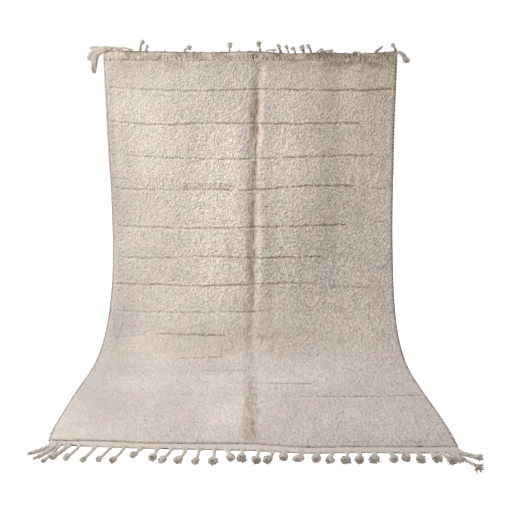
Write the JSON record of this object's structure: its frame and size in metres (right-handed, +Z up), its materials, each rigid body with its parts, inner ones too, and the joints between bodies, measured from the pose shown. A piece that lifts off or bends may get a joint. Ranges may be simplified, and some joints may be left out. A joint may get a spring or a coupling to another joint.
{
  "type": "beni ourain rug",
  "caption": "Ivory wool pile rug hung by its top edge and laid out on the floor, with parted lines across the pile, a fold crease, flat-woven end bands and knotted tassels.",
  "frame": {"origin": "middle of the bounding box at floor level; the rug's own middle line lies 12 mm to +X of it", "axes": "+Z up; the pile faces -Y, the hanging stretch is at the +Y side and the lower end comes forward to -Y; +X is to the viewer's right when facing the pile"},
  "size_m": [1.7446, 1.5149, 1.6832],
  "materials": {
    "ivory_wool": "matte ivory wool pile, short and dense",
    "undyed_band": "matte flat-woven wool and plied tassels",
    "brown_overcast": "matte brown-grey overcast yarn"
  },
  "bodies": {
    "root": {"pile_field": "ivory_wool", "selvedge_left": "brown_overcast", "selvedge_right": "brown_overcast", "fringe_top": "undyed_band", "fringe_bottom": "undyed_band"}
  },
  "joints": []
}
